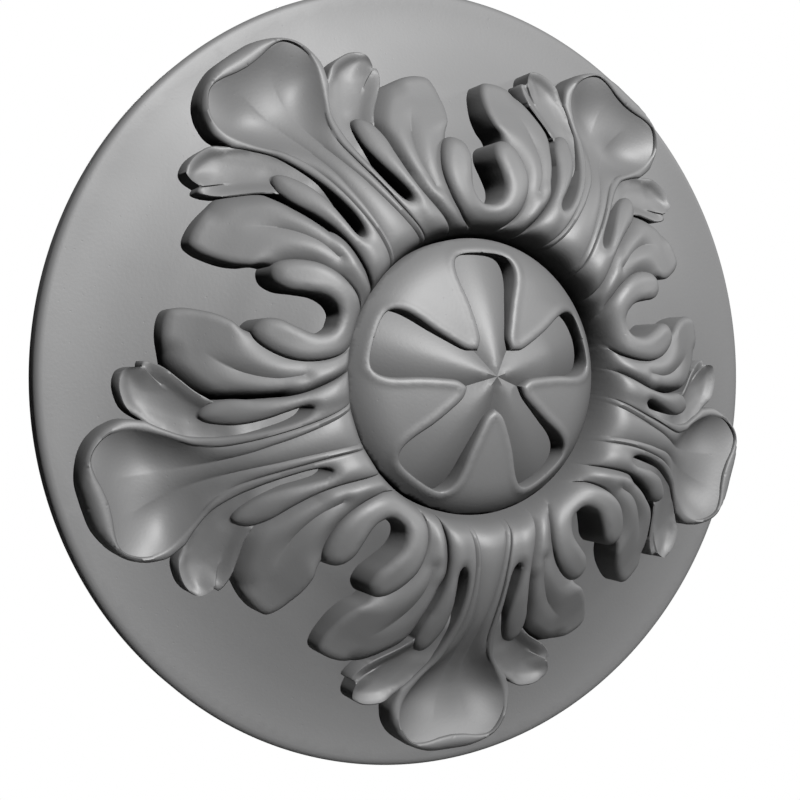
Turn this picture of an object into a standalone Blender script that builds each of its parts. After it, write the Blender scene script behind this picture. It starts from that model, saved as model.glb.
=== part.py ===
"""Round wall rosette carved in one piece: a disc that rises to a low dome, five acanthus
clusters with C-scrolls between them, a plain ring, and a boss with a sunk five-petal flower.

The carving is drawn once, on the tenth of the disc between a leaf's axis and the next
scroll's axis. There x runs across the leaf, y along its axis and z out of the wall, with
the flat back at z = 0. Mirror and Array turn that tenth into the whole, and the object's
rotation stands it up: +Z up, the carving towards -Y, the origin in the back's middle.
"""
import math

import bmesh
import bpy
import numpy as np
from mathutils import Vector
from mathutils.geometry import delaunay_2d_cdt

MM = 0.001

# Driving dimensions
DISC_RADIUS = 150.0 * MM
DISC_THICKNESS = 11.0 * MM
RIM_ROUNDING = 3.0 * MM
UNITS = 5
HALF_UNIT = math.pi / UNITS
GROOVE_RADIUS = 50.4 * MM
POCKET_START = 61.6 * MM
SECTOR_TIP = 11.4 * MM

# Height above the disc of the smooth mound that all the leaves are carved from, by radius
MOUND = ((50.4, 29.0), (51.3, 34.6), (52.4, 39.6), (53.8, 43.8), (55.8, 46.8), (58.6, 48.4),
         (62.0, 48.8), (67.5, 47.9), (75.0, 45.2), (82.5, 41.3), (90.0, 36.2), (97.5, 30.4),
         (105.0, 24.6), (112.5, 20.0), (120.0, 17.0), (129.0, 15.6), (142.0, 15.0))

# Height of the ground that rises from the disc towards the middle, between the leaves
GROUND = ((50.4, 38.0), (56.0, 36.6), (63.0, 34.0), (71.0, 29.5), (78.0, 25.5), (85.0, 21.8),
          (93.0, 17.3), (103.0, 12.6), (110.0, 9.6), (116.0, 7.1), (122.0, 4.9), (128.0, 3.0),
          (134.0, 1.6), (140.0, 0.6), (147.0, 0.0), (150.0, 0.0))

# Outlines in millimetres, as (across, along): each is a smooth line through its points
LIP_EDGE = ((0, 141.9), (8.5, 141.4), (16.0, 138.5), (21.0, 134.6), (23.8, 130.2), (24.9, 126.0),
            (25.0, 121.5), (22.4, 115.2))
STEM_EDGE = ((22.4, 115.2), (18.6, 111.3), (13.7, 105.0), (10.8, 97.5), (9.3, 90.0), (8.6, 82.5),
             (8.5, 75.0), (9.3, 69.6), (11.2, 67.2), (12.6, 69.6), (12.5, 75.0), (12.1, 82.5),
             (12.7, 90.0), (14.8, 95.9), (17.0, 99.0), (19.1, 99.7), (21.1, 97.9), (22.1, 94.5),
             (21.4, 89.0), (19.2, 82.5), (17.4, 75.0), (16.8, 67.5), (17.3, 60.0), (18.6, 50.0),
             (19.4, 44.0))
FOLD = ((0, 135.1), (5.0, 135.5), (10.0, 136.3), (14.3, 136.4), (17.2, 135.3), (19.6, 132.8),
        (21.3, 129.5), (21.9, 125.5), (20.9, 119.5), (15.8, 111.5), (10.3, 104.5), (7.3, 97.5),
        (6.4, 90.0), (6.2, 82.5), (6.3, 75.0), (6.6, 67.5), (7.4, 60.0), (8.8, 51.0), (10.0, 46.0))
CREASE = ((8.4, 46.0), (6.2, 54.3), (4.7, 63.0), (3.5, 75.0), (3.1, 82.5), (2.6, 90.0),
          (2.6, 99.0), (3.2, 108.0), (4.4, 118.0), (6.4, 128.0))
SPOON = ((8.6, 82.5), (9.3, 90.0), (10.8, 97.5), (13.7, 105.0), (18.6, 111.3), (24.0, 117.0),
         (28.0, 119.6), (32.3, 120.2), (36.8, 119.6), (40.4, 117.4), (41.2, 114.4), (40.1, 110.5))
SLIVER = ((40.1, 110.5), (41.8, 109.5), (40.6, 107.0), (37.4, 103.9), (32.4, 101.0), (27.1, 98.0),
          (22.0, 94.0))
SPOON_ROOT = ((22.0, 94.0), (15.0, 80.0), (14.5, 68.0), (12.0, 62.0), (8.0, 66.0), (8.6, 82.5))
SLIVER_CREASE = ((40.1, 110.5), (33.0, 107.0), (27.0, 103.0), (21.0, 97.5))
SIDE_LEAF = ((17.4, 75.0), (19.3, 82.8), (21.6, 90.5), (24.2, 97.0), (29.6, 101.6), (35.8, 103.5),
             (42.0, 102.8), (47.9, 101.6), (52.9, 99.4), (55.7, 96.6), (55.3, 92.8), (53.3, 88.7),
             (50.4, 84.3), (46.7, 80.7), (42.0, 77.6), (38.0, 70.0), (33.0, 56.0), (30.0, 40.0))
SIDE_LEAF_ROOT = ((30.0, 40.0), (12.0, 46.0), (12.5, 58.0), (15.0, 68.0), (17.4, 75.0))
MIDRIB = ((22.6, 66.5), (24.3, 75.0), (28.8, 83.0), (34.8, 89.0), (41.3, 93.2))
SCROLL_OUTER = ((30.5, 38.5), (25.6, 48.5), (24.8, 55.0), (26.0, 62.5), (28.9, 68.8), (33.6, 73.8),
                (38.5, 76.6), (42.2, 76.0), (44.3, 72.2), (42.8, 67.6), (38.9, 63.6), (35.0, 59.3),
                (33.6, 55.0), (34.3, 51.6))
PETAL = ((5.6, 13.5), (6.7, 19.5), (8.7, 27.0), (10.8, 33.0), (11.8, 37.5),
         (11.4, 40.9), (9.4, 43.1), (5.5, 44.1), (0, 44.4))

# Relief of each form, in millimetres: how far it swells, dishes or sinks
LIP_RISE, LIP_DROP, LIP_STEP = 1.4, 8.0, 0.85
BAND_RISE, BAND_DROP, BAND_STEP = 0.3, 1.8, 0.5
FINGER_LIFT, FINGER_DROP, FINGER_ROUND = 1.4, 3.0, 4.2
RIB_SWELL = 1.0
FLOOR_DISH, BOWL_START = 6.0, 106.0
FLUTE_SCOOP = 1.6
SPOON_DISH, SPOON_SPREAD = 4.6, 6.5
SPOON_BEAD, SPOON_DROP = 0.7, 1.5
SPOON_TUCK, SPOON_TUCK_SPREAD = 3.0, 4.5
SPLIT_STEP, SPLIT_SPREAD = 0.9, 5.0
EYE_DEPTH = 15.0
LEAF_DROP, LEAF_ROUND = 2.6, 2.6
FLANK_DROP, FLANK_ROUND = 3.6, 7.0
LEAF_TUCK, LEAF_TUCK_SPREAD = 3.2, 6.5
STEM_TUCK, STEM_TUCK_SPREAD = 3.8, 4.0
SLIVER_TUCK, SLIVER_TUCK_SPREAD = 4.0, 5.0
MIDRIB_DEPTH, MIDRIB_SPREAD = 1.8, 5.0
SCROLL_LIFT, SCROLL_DROP, SCROLL_ROUND = 1.6, 3.4, 3.8
DOME_TOP, DOME_FALL, DOME_TURN, DOME_TURN_WIDTH = 51.0, 11.5, 5.0, 14.0
STAR_HEIGHT = 51.4
PETAL_BEAD, PETAL_ROUND = 0.45, 1.5
PETAL_FALL, PETAL_CURVE, PETAL_PLEAT, PETAL_BOW = 0.1, 1.0, 5.5, 0.02
RING_FADE = (53.5, 60.5)
LEVEL_GAP = 0.25 * MM
LAYERS = ("disc", "petal", "floor", "leaf", "spoon", "stem", "scroll", "boss")

# Size of the facets, in millimetres
LINE_STEP = 3.7
FIELD_STEP = 6.2
GROUND_STEP = 9.0
GROUND_FLAT = 143.0
RIM_STEP = 8.0
CARVED_LINES = ("lip", "stem", "fold", "crease", "spoon", "sliver", "sliver_crease", "leaf",
                "midrib", "scroll", "petal")


def smooth_line(points, step):
    """A Catmull-Rom line through points, with a point about every step."""
    pts = np.array(points, float)
    ends = np.vstack([2 * pts[0] - pts[1], pts, 2 * pts[-1] - pts[-2]])
    line = [pts[0]]
    for a, b, c, d in zip(ends, ends[1:], ends[2:], ends[3:]):
        count = max(1, round(float(np.linalg.norm(c - b)) / step))
        for t in np.arange(1, count + 1) / count:
            line.append(0.5 * (2 * b + (c - a) * t + (2 * a - 5 * b + 4 * c - d) * t ** 2
                               + (3 * b - a - 3 * c + d) * t ** 3))
    return np.array(line)


def joined(*lines):
    """One closed outline from lines that meet end to end."""
    return np.vstack([line[:-1] for line in lines] + [lines[-1][-1:]])


def distance(points, line):
    """How far each point is from a line of straight pieces."""
    starts, spans = line[:-1], np.diff(line, axis=0)
    away = points[:, None] - starts[None]
    share = np.clip((away * spans).sum(-1) / (spans ** 2).sum(-1), 0, 1)
    return np.linalg.norm(away - share[..., None] * spans, axis=-1).min(1)


def inside(points, outline):
    """Which points lie within a closed outline."""
    x, y = points[:, 0, None], points[:, 1, None]
    x1, y1 = outline.T
    x2, y2 = np.roll(outline, -1, axis=0).T
    rise = np.where(y2 == y1, 1e-12, y2 - y1)
    crossed = ((y1 > y) != (y2 > y)) & (x < (x2 - x1) * (y - y1) / rise + x1)
    return crossed.sum(1) % 2 == 1


def ease(value, low, high):
    """0 below low, 1 above high, and a smooth step between."""
    t = np.clip((value - low) / (high - low), 0, 1)
    return t * t * (3 - 2 * t)


def fading(gap, width):
    """1 at a line, falling to 0 at width from it, as beside a crease."""
    return (1 - np.clip(gap / width, 0, 1)) ** 2


def rolled(gap, width):
    """1 at an edge, falling to 0 at width from it in a quarter circle."""
    return 1 - np.sqrt(1 - (1 - np.clip(gap / width, 0, 1)) ** 2)


def bead(gap, middle):
    """A soft ridge beside an edge, highest at middle from it."""
    return np.exp(-((gap - middle) / (0.6 * middle)) ** 2)


def turned(profile, p):
    """Height at points of a profile that is turned round the middle."""
    radii, heights = smooth_line(profile, 0.8).T
    return np.interp(np.hypot(*p.T), radii, heights)


def mound(p):
    """Height of the mound at points."""
    return turned(MOUND, p)


class Carving:
    """The tenth's outlines, and the height of each form above the disc."""

    def __init__(self, step):
        cosine, sine = math.cos(HALF_UNIT), math.sin(HALF_UNIT)
        scroll = SCROLL_OUTER + ((POCKET_START / MM * sine, POCKET_START / MM * cosine),)
        petal = ((0, SECTOR_TIP / MM),) + tuple(
            (along * sine - across * cosine, across * sine + along * cosine) for across, along in PETAL)
        line = {name: smooth_line(points, step) for name, points in (
            ("lip", LIP_EDGE), ("stem", STEM_EDGE), ("fold", FOLD), ("crease", CREASE),
            ("spoon", SPOON), ("sliver", SLIVER), ("spoon_root", SPOON_ROOT),
            ("sliver_crease", SLIVER_CREASE), ("leaf", SIDE_LEAF), ("leaf_root", SIDE_LEAF_ROOT),
            ("midrib", MIDRIB), ("scroll", scroll), ("petal", petal), ("flank", SIDE_LEAF[:7]),
            ("spoon_rim", SPOON[4:]))}
        self.line = line
        centre = np.zeros((1, 2))
        self.outline = {
            "floor": np.vstack([centre, line["fold"]]),
            "spoon": joined(line["spoon"], line["sliver"], line["spoon_root"]),
            "leaf": joined(line["leaf"], line["leaf_root"]),
            "stem": np.vstack([line["lip"], line["stem"][1:], line["fold"][::-1]]),
            "scroll": np.vstack([line["scroll"], centre]),
            "sliver": np.vstack([line["sliver"], line["sliver_crease"][::-1]]),
        }

    def height(self, name, p):
        """Height of one form above the disc: the leaves run out to a plain ring round the groove."""
        height = getattr(self, name)(p)
        if name in ("floor", "leaf", "stem", "scroll"):
            return mound(p) + (height - mound(p)) * ease(np.hypot(*p.T), *RING_FADE)
        return height

    def disc(self, p):
        """The disc, which rises to the ground under the leaves and is rounded over at its rim."""
        out = np.clip(np.hypot(*p.T) * MM - DISC_RADIUS + RIM_ROUNDING, 0, RIM_ROUNDING)
        return turned(GROUND, p) + (np.sqrt(RIM_ROUNDING ** 2 - out ** 2 * 0.999) - RIM_ROUNDING) / MM

    def floor(self, p):
        """The broad lobe's dished floor: ribs along the stem that turn to scoops at the tip."""
        x, y = p.T
        side = self.line["fold"][self.line["fold"][:, 0].argmax():][::-1]
        fold = np.interp(y, side[:, 1], side[:, 0])
        crease = np.interp(y, self.line["crease"][:, 1], self.line["crease"][:, 0])
        share = np.where(x < crease, 0.5 + 0.5 * x / crease,
                         np.clip((x - crease) / np.maximum(fold - crease, 0.5), 0, 1))
        tip = ease(y, 96, 122)
        rib = RIB_SWELL * (4 * share * (1 - share) - 1)
        scoop = np.where(x < crease, 0.3, -1.0) * FLUTE_SCOOP * 4 * share * (1 - share)
        scoop = scoop * (1 - ease(y, 118, 134))
        across = np.clip(x / fold, 0, 1)
        along = np.clip((y - BOWL_START) / (FOLD[0][1] + 1.2 - BOWL_START), 0, 1)
        bowl = (1 - across ** 2.4) * (1 - along ** 3.2)
        return mound(p) - FLOOR_DISH * ease(y, 86, 118) * bowl + (1 - tip) * rib + tip * scoop

    def stem(self, p):
        """The lobe's rolled rim, its stem and the finger beside the eye."""
        y = p[:, 1]
        tip = ease(y, 117, 136)
        edge = distance(p, np.vstack([self.line["lip"], self.line["stem"]]))
        fold = distance(p, self.line["fold"])
        band = np.maximum(edge + fold, 1e-6)
        rise = BAND_RISE + (LIP_RISE - BAND_RISE) * tip
        drop = BAND_DROP + (LIP_DROP - BAND_DROP) * tip
        tuck = (rise + RIB_SWELL * (1 - ease(y, 96, 122)) - BAND_STEP * (1 - ease(y, 84, 100))
                - LIP_STEP * ease(y, 126, 134))
        rim = rise - drop * rolled(edge, 0.75 * band) - tuck * rolled(fold, 0.5 * band)
        finger = FINGER_LIFT - FINGER_DROP * rolled(edge, FINGER_ROUND)
        beside = ease(p[:, 0], 8.5, 13.0) * (1 - ease(y, 101, 108))
        return mound(p) + rim * (1 - beside) + finger * beside

    def spoon(self, p):
        """The dished side lobe with its split tip, sinking into the eye beside the stem."""
        y = p[:, 1]
        outer = distance(p, self.line["spoon"]) + SPOON_SPREAD * (1 - ease(y, 92, 106)) + 1e-6
        inner = distance(p, self.line["sliver"])
        free = np.minimum(distance(p, self.line["spoon_rim"]) + 3 * (1 - ease(y, 111, 118)), inner)
        split = distance(p, self.line["sliver_crease"])
        notch = np.hypot(*(p - np.array(SLIVER[0])).T)
        between = outer * inner / (outer + inner)
        dish = SPOON_DISH * (1 - fading(between, SPOON_SPREAD)) * ease(y, 70, 84)
        eye = EYE_DEPTH * (1 - ease(y, 67, 93))
        rim = SPOON_BEAD * bead(free, 2.2) * ease(notch, 1, 8) - SPOON_DROP * rolled(free, 1.6)
        step = SPLIT_STEP * fading(split, SPLIT_SPREAD) * (1 - ease(notch, 4, 13))
        beyond = inside(p, self.outline["sliver"]) & (split > 0.01)
        lobe = distance(p, np.vstack([self.line["lip"], self.line["stem"]]))
        tuck = SPOON_TUCK * fading(lobe, SPOON_TUCK_SPREAD) * ease(y, 97, 107)
        return mound(p) - dish - eye + rim - tuck + step * np.where(beyond, -0.4, 0.6)

    def leaf(self, p):
        """The broad side leaf with its midrib, tucked under the scroll."""
        edge = distance(p, self.line["leaf"])
        flank = distance(p, self.line["flank"])
        rib = distance(p, self.line["midrib"])
        scroll = distance(p, self.line["scroll"])
        stem = distance(p, self.line["stem"])
        end = np.hypot(*(p - np.array(MIDRIB[-1])).T)
        return (mound(p) + 0.8 - LEAF_DROP * rolled(edge, LEAF_ROUND)
                - FLANK_DROP * fading(flank, FLANK_ROUND) - LEAF_TUCK * fading(scroll, LEAF_TUCK_SPREAD)
                - MIDRIB_DEPTH * fading(rib, MIDRIB_SPREAD) * ease(end, 0, 16)
                - STEM_TUCK * fading(stem, STEM_TUCK_SPREAD)
                - SLIVER_TUCK * fading(distance(p, self.line["sliver"]), SLIVER_TUCK_SPREAD))

    def scroll(self, p):
        """The C-scroll that joins two clusters round its pocket."""
        edge = distance(p, self.line["scroll"])
        lift = SCROLL_LIFT * ease(np.hypot(*p.T), 56, 76)
        return mound(p) + lift - SCROLL_DROP * rolled(edge, SCROLL_ROUND)

    def boss(self, p):
        """The dome in the middle."""
        share = np.clip(np.hypot(*p.T) * MM / GROOVE_RADIUS, 0, 1)
        edge = distance(p, self.line["petal"])
        turn = fading(GROOVE_RADIUS / MM * (1 - share), DOME_TURN_WIDTH) ** 1.5
        return (DOME_TOP - DOME_FALL * share ** 2 - DOME_TURN * turn + PETAL_BEAD * bead(edge, 2.0)
                - PETAL_ROUND * rolled(edge, 1.4))

    def petal(self, p):
        """A sunk petal's floor, which rises to a sharp star in the middle."""
        radius, angle = np.hypot(*p.T), HALF_UNIT - np.arctan2(*p.T)
        q = radius * np.cos(angle) * MM / DISC_RADIUS
        swing = np.abs(radius * np.sin(angle)) / np.maximum(radius * math.tan(HALF_UNIT), 1e-6)
        return (STAR_HEIGHT - DISC_RADIUS / MM * (PETAL_FALL * q + PETAL_CURVE * q ** 2)
                - PETAL_BOW * (radius * np.sin(angle)) ** 2
                - PETAL_PLEAT * swing ** 1.6 * (1 - np.exp(-radius / 8)))

    def form_at(self, p):
        """The name of the topmost form at each point."""
        names = np.full(len(p), "disc", dtype=object)
        for name in ("floor", "leaf", "spoon", "stem", "scroll"):
            names[inside(p, self.outline[name])] = name
        radius, angle = np.hypot(*p.T), np.arctan2(*p.T)
        names[radius * MM < GROOVE_RADIUS] = "boss"
        petal_side = np.vstack([[[0, 0]], self.line["petal"]])
        names[(radius * MM < GROOVE_RADIUS) & (angle >= 0) & inside(p, petal_side)] = "petal"
        return names


def arc(radius, count):
    """Points along the tenth at one radius, both of its edges included."""
    angles = np.linspace(0, HALF_UNIT, count + 1)
    return np.stack([radius * np.sin(angles), radius * np.cos(angles)], 1)


def field(step):
    """Staggered rows of points over the tenth."""
    rows = []
    for row, radius in enumerate(np.arange(step, DISC_RADIUS / MM, step)):
        count = max(1, round(radius * HALF_UNIT / step))
        angles = (np.arange(count) + (0.35, 0.65)[row % 2]) / count * HALF_UNIT
        rows.append(np.stack([radius * np.sin(angles), radius * np.cos(angles)], 1))
    return np.vstack(rows)


def plan(carving, line_step, field_step):
    """The tenth cut into triangles along every outline: points and triangles."""
    rim, rounding, groove = DISC_RADIUS / MM, RIM_ROUNDING / MM, GROOVE_RADIUS / MM
    rim_count = round(rim * HALF_UNIT / RIM_STEP)
    lines = [arc(rim, rim_count), arc(rim - 0.3 * rounding, rim_count), arc(rim - rounding, rim_count),
             arc(groove, round(groove * HALF_UNIT / line_step))]
    lines += [carving.line[name] for name in CARVED_LINES]
    for side in (0, HALF_UNIT):
        ends = [line[i] for line in lines for i in (0, -1) if abs(np.arctan2(*line[i]) - side) < 1e-6]
        for radius in np.arange(0, rim, field_step):
            if min(abs(radius - np.linalg.norm(end)) for end in ends) > 0.4 * field_step:
                ends.append(np.array([radius * math.sin(side), radius * math.cos(side)]))
        lines.append(np.array(sorted(ends, key=np.linalg.norm)))
    verts, edges = [], []
    for line in lines:
        first = len(verts)
        verts.extend(Vector(point) for point in line)
        edges.extend((first + i, first + i + 1) for i in range(len(line) - 1))
    for step, on_ground in ((field_step, False), (GROUND_STEP, True)):
        loose = field(step)
        loose = loose[(carving.form_at(loose) == "disc") == on_ground]
        gaps = np.min([distance(loose, line) for line in lines], axis=0)
        keep = (gaps > 0.5 * step) & (np.hypot(*loose.T) < GROUND_FLAT)
        verts.extend(Vector(point) for point in loose[keep])
    points, _, triangles = delaunay_2d_cdt(verts, edges, [], 1, 1e-4)[:3]
    return np.array([tuple(point) for point in points]), triangles


def build_tenth(carving, points, triangles):
    """The tenth as a mesh: forms at their heights, sheer walls between them, and the back."""
    middles = np.array([points[list(face)].mean(0) for face in triangles])
    forms = carving.form_at(middles)
    heights = {name: carving.height(name, points) for name in set(forms)}
    levels = [{} for _ in points]
    for face, name in zip(triangles, forms):
        for corner in face:
            levels[corner][name] = heights[name][corner] * MM + DISC_THICKNESS

    neighbours = {}
    for face, name in zip(triangles, forms):
        for a, b in zip(face, face[1:] + face[:1]):
            neighbours[a, b] = name
    settle(levels)

    shape = bmesh.new()
    columns = []
    for point, level in zip(points, levels):
        column, made = {}, []
        for name, z in sorted(level.items(), key=lambda item: item[1]):
            if not made or z - made[-1].co.z > LEVEL_GAP:
                made.append(shape.verts.new((point[0] * MM, point[1] * MM, z)))
            column[name] = len(made) - 1
        columns.append((column, made))

    for face, name in zip(triangles, forms):
        shape.faces.new([columns[corner][1][columns[corner][0][name]] for corner in face])
    for (a, b), name in neighbours.items():
        other = neighbours.get((b, a), name)
        tops = columns[a][0][name], columns[b][0][name]
        feet = columns[a][0].get(other), columns[b][0].get(other)
        if other == name or tops == feet or tops[0] < feet[0] or tops[1] < feet[1]:
            continue
        shape.faces.new(columns[b][1][feet[1]:tops[1] + 1] + columns[a][1][feet[0]:tops[0] + 1][::-1])
    close_back(shape)
    return shape


def settle(levels):
    """No form stands above the form that lies over it: its edge sinks to meet it."""
    for level in levels:
        names = sorted(level, key=LAYERS.index, reverse=True)
        for upper, lower in zip(names, names[1:]):
            level[lower] = min(level[lower], level[upper])


def close_back(shape):
    """The disc's side and the flat back, below the rim's edges."""
    rim = [edge for edge in shape.edges if edge.is_boundary and all(
        abs(vert.co.xy.length - DISC_RADIUS) < 1e-5 for vert in edge.verts)]
    down = bmesh.ops.extrude_edge_only(shape, edges=rim)["geom"]
    foot = [vert for vert in down if isinstance(vert, bmesh.types.BMVert)]
    for vert in foot:
        vert.co.z = 0
    middle = shape.verts.new((0, 0, 0))
    for edge in [item for item in down if isinstance(item, bmesh.types.BMEdge)]:
        if all(vert in foot for vert in edge.verts):
            shape.faces.new((*edge.verts, middle))
    bmesh.ops.recalc_face_normals(shape, faces=shape.faces)


def clear_scene():
    """Removes the objects that the file opens with."""
    for thing in list(bpy.data.objects):
        bpy.data.objects.remove(thing, do_unlink=True)


def plaster():
    """Matt grey cast plaster."""
    material = bpy.data.materials.new("grey_plaster")
    material.use_nodes = True
    shader = material.node_tree.nodes["Principled BSDF"]
    shader.inputs["Base Color"].default_value = (0.42, 0.42, 0.42, 1.0)
    shader.inputs["Roughness"].default_value = 0.6
    shader.inputs["Metallic"].default_value = 0.0
    return material


def build_rosette(collection):
    """The whole rosette: the tenth mirrored, then turned round five times."""
    carving = Carving(LINE_STEP)
    shape = build_tenth(carving, *plan(carving, LINE_STEP, FIELD_STEP))
    mesh = bpy.data.meshes.new("rosette")
    shape.to_mesh(mesh)
    shape.free()
    mesh.materials.append(plaster())
    rosette = bpy.data.objects.new("rosette", mesh)
    collection.objects.link(rosette)

    turn = bpy.data.objects.new("unit_turn", None)
    collection.objects.link(turn)
    turn.parent = rosette
    turn.rotation_euler.z = 2 * HALF_UNIT

    mirror = rosette.modifiers.new("other_half", "MIRROR")
    mirror.use_axis = (True, False, False)
    mirror.merge_threshold = 0.00001
    units = rosette.modifiers.new("units", "ARRAY")
    units.count = UNITS
    units.use_relative_offset = False
    units.use_object_offset = True
    units.offset_object = turn
    units.use_merge_vertices = True
    units.use_merge_vertices_cap = True
    units.merge_threshold = 0.00001
    rosette.rotation_euler = (math.pi / 2, math.pi, 0)
    return rosette


def main():
    """Builds the rosette in a collection of its own name."""
    clear_scene()
    collection = bpy.data.collections.new("rosette")
    bpy.context.scene.collection.children.link(collection)
    build_rosette(collection)


main()
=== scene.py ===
"""Dressed scene of a round wall rosette, cast in one piece of grey plaster.

The carving is drawn once, on the tenth of the disc between a leaf's axis and the next
scroll's axis. There x runs across the leaf and y along its axis, in millimetres for a
disc of 150 mm radius, and heights are above the disc's face. The tenth is mirrored and
turned round five times, and stood up so that it fills the frame's rosette node.

In the fields of the forms a rise or lift stands above the mound, a drop is how far an edge
rolls down, a tuck is how far a form sinks where another lies against it, a spread or round
is how wide that is, and a span or end is where it sets in or stops along the leaf's axis.
"""
import logging
import math
from dataclasses import dataclass
from enum import Enum

import bpy
import numpy as np
from mathutils import Matrix, Vector
from mathutils.geometry import delaunay_2d_cdt

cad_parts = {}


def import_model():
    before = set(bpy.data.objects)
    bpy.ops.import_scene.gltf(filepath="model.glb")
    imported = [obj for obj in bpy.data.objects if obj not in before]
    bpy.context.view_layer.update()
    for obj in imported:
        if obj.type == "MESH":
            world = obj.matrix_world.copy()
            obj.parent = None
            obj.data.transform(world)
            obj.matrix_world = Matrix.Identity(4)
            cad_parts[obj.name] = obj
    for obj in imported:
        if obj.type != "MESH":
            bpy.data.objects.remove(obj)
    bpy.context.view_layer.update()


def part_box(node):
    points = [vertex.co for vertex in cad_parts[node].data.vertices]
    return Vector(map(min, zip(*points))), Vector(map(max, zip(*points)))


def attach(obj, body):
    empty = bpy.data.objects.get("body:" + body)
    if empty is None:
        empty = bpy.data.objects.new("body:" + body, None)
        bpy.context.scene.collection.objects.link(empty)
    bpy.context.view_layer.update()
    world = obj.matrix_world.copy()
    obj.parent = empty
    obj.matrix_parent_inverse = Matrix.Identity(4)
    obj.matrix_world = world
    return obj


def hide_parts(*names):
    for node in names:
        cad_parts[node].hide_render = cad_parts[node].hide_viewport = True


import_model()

LOG = logging.getLogger("rosette")
NODE = "rosette"

MM = 0.001
TINY = 1e-6
BLOCK = 2000
UNITS = 5
HALF_UNIT = math.pi / UNITS

# Height above the disc of the smooth mound that all the leaves are carved from, by radius
MOUND = ((50.4, 29.0), (51.3, 34.6), (52.4, 39.6), (53.8, 43.8), (55.8, 46.8), (58.6, 48.4),
         (62.0, 48.8), (67.5, 47.9), (75.0, 45.2), (82.5, 41.3), (90.0, 36.2), (97.5, 30.4),
         (105.0, 24.6), (112.5, 20.0), (120.0, 17.0), (129.0, 15.6), (142.0, 15.0))

# Height of the ground that rises from the disc towards the middle, between the leaves
GROUND = ((50.4, 38.0), (56.0, 36.6), (63.0, 34.0), (71.0, 29.5), (78.0, 25.5), (85.0, 21.8),
          (93.0, 17.3), (103.0, 12.6), (110.0, 9.6), (116.0, 7.1), (122.0, 4.9), (128.0, 3.0),
          (134.0, 1.6), (140.0, 0.6), (147.0, 0.0), (150.0, 0.0))

# Outlines in millimetres, as (across, along): each is a smooth line through its points
LIP_EDGE = ((0, 141.9), (8.5, 141.4), (16.0, 138.5), (21.0, 134.6), (23.8, 130.2), (24.9, 126.0),
            (25.0, 121.5), (22.4, 115.2))
STEM_EDGE = ((22.4, 115.2), (18.6, 111.3), (13.7, 105.0), (10.8, 97.5), (9.3, 90.0), (8.6, 82.5),
             (8.5, 75.0), (9.3, 69.6), (11.2, 67.2), (12.6, 69.6), (12.5, 75.0), (12.1, 82.5),
             (12.7, 90.0), (14.8, 95.9), (17.0, 99.0), (19.1, 99.7), (21.1, 97.9), (22.1, 94.5),
             (21.4, 89.0), (19.2, 82.5), (17.4, 75.0), (16.8, 67.5), (17.3, 60.0), (18.6, 50.0),
             (19.4, 44.0))
FOLD = ((0, 135.1), (5.0, 135.5), (10.0, 136.3), (14.3, 136.4), (17.2, 135.3), (19.6, 132.8),
        (21.3, 129.5), (21.9, 125.5), (20.9, 119.5), (15.8, 111.5), (10.3, 104.5), (7.3, 97.5),
        (6.4, 90.0), (6.2, 82.5), (6.3, 75.0), (6.6, 67.5), (7.4, 60.0), (8.8, 51.0), (10.0, 46.0))
CREASE = ((8.4, 46.0), (6.2, 54.3), (4.7, 63.0), (3.5, 75.0), (3.1, 82.5), (2.6, 90.0),
          (2.6, 99.0), (3.2, 108.0), (4.4, 118.0), (6.4, 128.0))
SPOON = ((8.6, 82.5), (9.3, 90.0), (10.8, 97.5), (13.7, 105.0), (18.6, 111.3), (24.0, 117.0),
         (28.0, 119.6), (32.3, 120.2), (36.8, 119.6), (40.4, 117.4), (41.2, 114.4), (40.1, 110.5))
SLIVER = ((40.1, 110.5), (41.8, 109.5), (40.6, 107.0), (37.4, 103.9), (32.4, 101.0), (27.1, 98.0),
          (22.0, 94.0))
SPOON_ROOT = ((22.0, 94.0), (15.0, 80.0), (14.5, 68.0), (12.0, 62.0), (8.0, 66.0), (8.6, 82.5))
SLIVER_CREASE = ((40.1, 110.5), (33.0, 107.0), (27.0, 103.0), (21.0, 97.5))
SIDE_LEAF = ((17.4, 75.0), (19.3, 82.8), (21.6, 90.5), (24.2, 97.0), (29.6, 101.6), (35.8, 103.5),
             (42.0, 102.8), (47.9, 101.6), (52.9, 99.4), (55.7, 96.6), (55.3, 92.8), (53.3, 88.7),
             (50.4, 84.3), (46.7, 80.7), (42.0, 77.6), (38.0, 70.0), (33.0, 56.0), (30.0, 40.0))
SIDE_LEAF_ROOT = ((30.0, 40.0), (12.0, 46.0), (12.5, 58.0), (15.0, 68.0), (17.4, 75.0))
MIDRIB = ((22.6, 66.5), (24.3, 75.0), (28.8, 83.0), (34.8, 89.0), (41.3, 93.2))
SCROLL_OUTER = ((30.5, 38.5), (25.6, 48.5), (24.8, 55.0), (26.0, 62.5), (28.9, 68.8), (33.6, 73.8),
                (38.5, 76.6), (42.2, 76.0), (44.3, 72.2), (42.8, 67.6), (38.9, 63.6), (35.0, 59.3),
                (33.6, 55.0), (34.3, 51.6))
PETAL = ((5.6, 13.5), (6.7, 19.5), (8.7, 27.0), (10.8, 33.0), (11.8, 37.5),
         (11.4, 40.9), (9.4, 43.1), (5.5, 44.1), (0, 44.4))

# The lines that the faces of the mesh follow
CARVED_LINES = ("lip", "stem", "fold", "crease", "spoon", "sliver", "sliver_crease", "leaf",
                "midrib", "scroll", "petal")


class Layer(Enum):
    """The forms of the carving, each lying over the ones before it."""

    DISC = 0
    PETAL = 1
    FLOOR = 2
    LEAF = 3
    SPOON = 4
    STEM = 5
    SCROLL = 6
    BOSS = 7


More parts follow.
